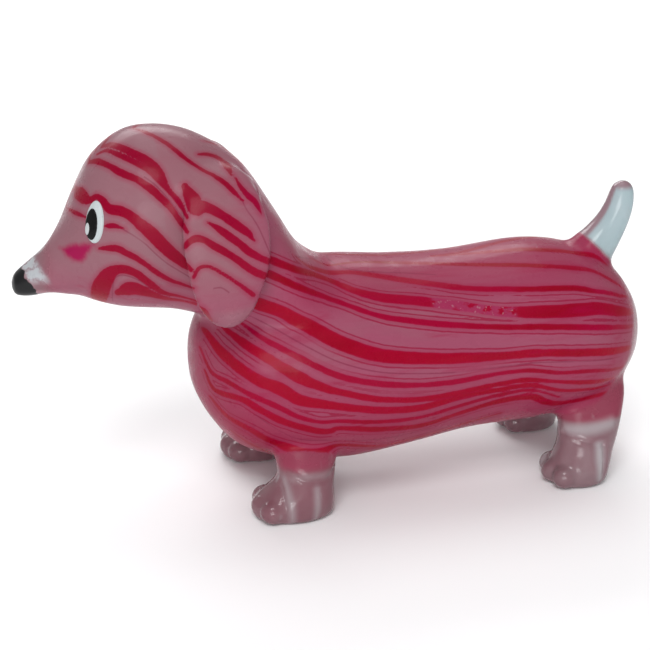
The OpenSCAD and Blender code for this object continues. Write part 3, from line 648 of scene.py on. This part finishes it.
def piece(name, faces, points=None, normals=None, marks=None, mat=None):
    """A mesh piece from some of the skin's faces, shaded with the whole skin's normals."""
    points, normals, marks = (P, N, MARKS) if points is None else (points, normals, marks)
    used, back = np.unique(faces, return_inverse=True)
    me = bpy.data.meshes.new(name)
    me.from_pydata((points[used] * MM).tolist(), [], back.reshape(faces.shape).tolist())
    for k, v in marks.items():
        a = me.attributes.new(k, "FLOAT", "POINT")
        a.data.foreach_set("value", v[used].astype(np.float32))
    me.polygons.foreach_set("use_smooth", [True] * len(me.polygons))
    me.normals_split_custom_set_from_vertices(normals[used].tolist())
    ob = bpy.data.objects.new(name, me)
    bpy.context.scene.collection.objects.link(ob)
    me.materials.append(mat or SKIN)
    return ob


def at(x, y, z):
    return (x * MM, y * MM, z * MM)


if (np.cross(P[Q[:, 2]] - P[Q[:, 0]], P[Q[:, 3]] - P[Q[:, 1]]) * N[Q[:, 0]]).sum() < 0:
    Q = Q[:, ::-1]
CEN = P[Q].mean(1)
ax, ay, az = CEN[:, 0], np.abs(CEN[:, 1]), CEN[:, 2]
DQ = {k: v[Q].mean(1) for k, v in D.items()}
NECK, NECK_UP = np.array([-21.5, 0, 50.6]), np.array([-math.sin(math.radians(35)), 0, math.cos(math.radians(35))])
TAIL_AT, TAIL_UP = np.array([61.2, 0, 50.4]), np.array([math.sin(math.radians(29)), 0, math.cos(math.radians(29))])

is_tail = ((CEN - TAIL_AT) @ TAIL_UP > -3) & (DQ["tail"] < 1.5) & (ax > 55)
EAR_START, EAR_END = np.array([17.5, 68.5]), np.array([21.8, 50])
below = (np.stack([ay, az], 1) - EAR_START) @ (EAR_END - EAR_START) > 0
is_ear = (DQ["ears"] < DQ["head"]) & (DQ["ears"] < 1.5) & below & (ay > 14) & (az > 44) & (ax < -15)
is_paw = (az < 8) & (ay > 9) & (DQ["legs"] < 1.5)
is_head = ((CEN - NECK) @ NECK_UP > -5) & ~is_tail & ~is_ear & ~is_paw & (ax < 10)
is_nose = is_head & (((CEN - np.array([-66, 0, 52.2])) @ nose_n) < 1.5) & (ax < -60)
is_head &= ~is_nose
is_trunk = ~(is_tail | is_ear | is_paw | is_head | is_nose)

trunk = piece("trunk_skin", Q[is_trunk])
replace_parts(trunk, "skin_chest", "skin_waist", "skin_rump", "leg_front_left", "leg_front_right",
            "leg_rear_left", "leg_rear_right", "ribbons_chest", "ribbons_waist", "ribbons_rump")
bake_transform(trunk)
head = piece("head_skin", Q[is_head])
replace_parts(head, "skin_head", "skin_neck", "ribbons_head", "ribbons_neck", "ear_root_left", "ear_root_right")
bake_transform(head)
nose_piece = piece("nose_skin", Q[is_nose])
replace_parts(nose_piece, "nose_tip")
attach(nose_piece, "head")
tail = piece("tail_skin", Q[is_tail])
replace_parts(tail, "tail", "tail_root")
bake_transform(tail)
for word, side in (("left", LEFT), ("right", RIGHT)):
    mine = CEN[:, 1] * side > 0
    ear = piece(f"ear_{word}_skin", Q[is_ear & mine])
    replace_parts(ear, f"ear_{word}")
    start, end = (at(-27, side * across, up) for across, up in (EAR_START, EAR_END))
    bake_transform(ear)
    for end, front, x, body in (("front", True, -11.9, "forequarters"), ("rear", False, 53.5, "hindquarters")):
        paw = piece(f"paw_{end}_{word}_skin", Q[is_paw & mine & ((ax < 20) == front)])
        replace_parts(paw, f"paw_{end}_{word}")
        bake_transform(paw)
tail, nose_piece

# ---------------------------------------------------------------- the filling, under the clear places
INNER = -2.7
keep_p, keep_q, keep_n = P, Q, N
FP, FQ = remeshed([body_form(TRUNK, INNER), body_form(HEAD, INNER)], 1.2)
Q, P = FQ, FP
FN = normals_of(FP)
P, Q = keep_p, keep_q
if (FN * (FP - FP.mean(0))).sum() < 0:
    FN = -FN
if (np.cross(FP[FQ[:, 2]] - FP[FQ[:, 0]], FP[FQ[:, 3]] - FP[FQ[:, 1]]) * FN[FQ[:, 0]]).sum() < 0:
    FQ = FQ[:, ::-1]
FMARKS = dict(zip(("band", "dark", "hair", "hair_on", "along"), marks(FP, FN, (FP[:, 0] < -33) & (FP[:, 2] > 44))))
fcen = FP[FQ].mean(1)
upper = (fcen - NECK) @ NECK_UP > -5
trunk_fill = piece("trunk_filling", FQ[~upper], FP, FN, FMARKS, FILLING)
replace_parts(trunk_fill, "filling_chest", "filling_waist", "filling_rump")
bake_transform(trunk_fill)
head_fill = piece("head_filling", FQ[upper & (fcen[:, 0] > -61)], FP, FN, FMARKS, FILLING)
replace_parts(head_fill, "filling_head", "filling_neck")
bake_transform(head_fill)

# ---------------------------------------------------------------- eyes: printed ovals, slightly domed
TREE = BVHTree.FromPolygons([Vector(p) for p in P], Q.tolist())


def printed(name, side, dx, dz, width, height, lift, dome, mat, node, rings=14, spokes=48):
    eye = Vector((-53.6, 11 * side, 67.7))
    out = Vector((-math.sin(math.radians(38)), side * math.cos(math.radians(38)), 0.12)).normalized()
    across = Vector((0, 0, 1)).cross(out).normalized() * -side
    up = out.cross(across).normalized()
    up = up if up.z > 0 else -up
    pts = []
    for r in range(rings + 1):
        for k in range(spokes if r else 1):
            a, q = 2 * math.pi * k / spokes, r / rings
            p = eye + across * (dx + q * width / 2 * math.cos(a)) + up * (dz + q * height / 2 * math.sin(a))
            hit = TREE.ray_cast(p + out * 8, -out, 20)[0]
            pts.append(hit + out * (lift + dome * math.sqrt(max(0, 1 - q ** 4)) - (0.25 if r == rings else 0)))
    faces = [(0, 1 + k, 1 + (k + 1) % spokes) for k in range(spokes)]
    for r in range(1, rings):
        a, b = 1 + (r - 1) * spokes, 1 + r * spokes
        faces += [(a + k, b + k, b + (k + 1) % spokes, a + (k + 1) % spokes) for k in range(spokes)]
    ob = mesh_object(name, pts, faces)
    ob.data.polygons.foreach_set("use_smooth", [True] * len(ob.data.polygons))
    ob.data.materials.append(mat)
    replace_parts(ob, node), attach(ob, "head"), ob
    return ob


for word, side in (("left", LEFT), ("right", RIGHT)):
    printed(f"eye_white_{word}_print", side, 0, 0, 4.6, 8.9, 0.05, 0.5, WHITE, f"eye_white_{word}")
    printed(f"pupil_{word}_print", side, -0.45, -0.4, 3.2, 6.7, 0.5, 0.25, DARK, f"pupil_{word}")
    printed(f"glint_{word}_print", side, -1.3, -1.4, 1.1, 2.6, 0.65, 0.25, GLINT, f"glint_{word}")

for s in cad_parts["fill_plug"].material_slots:
    s.material = PLUG

# ---------------------------------------------------------------- stage, light and camera
m = Nodes("pale floor")
floor_mat = m.set(Base_Color=m.mix(m.fade(m.noise(3, 3), 0.3, 0.7), (0.9, 0.9, 0.91), (0.93, 0.93, 0.94)), Roughness=0.7)
floor = mesh_object("floor", [(-6000, -3000, 0), (6000, -3000, 0), (6000, 9000, 0), (-6000, 9000, 0)], [(0, 1, 2, 3)])
floor.data.materials.append(floor_mat)

world = bpy.data.worlds.new("studio")
bpy.context.scene.world = world
world.use_nodes = True
world.node_tree.nodes["Background"].inputs[0].default_value = (1, 1, 1, 1)
world.node_tree.nodes["Background"].inputs[1].default_value = 0.5


def lamp(name, place, aim, size, power):
    light = bpy.data.lights.new(name, "AREA")
    light.shape, light.size, light.energy = "DISK", size, power
    ob = bpy.data.objects.new(name, light)
    ob.location = place
    ob.rotation_euler = (Vector(aim) - Vector(place)).to_track_quat("-Z", "Y").to_euler()
    bpy.context.scene.collection.objects.link(ob)


lamp("key", (-0.25, -0.6, 0.9), (0, 0, 0.03), 0.5, 5)
lamp("fill", (-0.3, -0.9, 0.14), (0, 0, 0.02), 0.5, 4.2)
lamp("backdrop", (0, 1.3, 0.7), (0, 1.3, 0), 1.2, 16)
lamp("top", (0.1, 0.4, 1.0), (0, 0, 0.03), 0.7, 2.4)

AZ, EL, FAR, AIM = math.radians(-15), math.radians(20.5), 0.42, Vector((0, 0, 0.0376))
cam = bpy.data.cameras.new("camera")
cam.sensor_width, cam.lens = 36, 105.5
cam.shift_x, cam.shift_y = -10.5 / 650, -6 / 650
cam.clip_start, cam.clip_end = 0.01, 50
camera = bpy.data.objects.new("camera", cam)
back = Vector((math.sin(AZ) * math.cos(EL), -math.cos(AZ) * math.cos(EL), math.sin(EL)))
camera.location = AIM + back * FAR
camera.rotation_euler = (-back).to_track_quat("-Z", "Y").to_euler()
bpy.context.scene.collection.objects.link(camera)
bpy.context.scene.camera = camera
bpy.context.scene.view_settings.view_transform = "Standard"
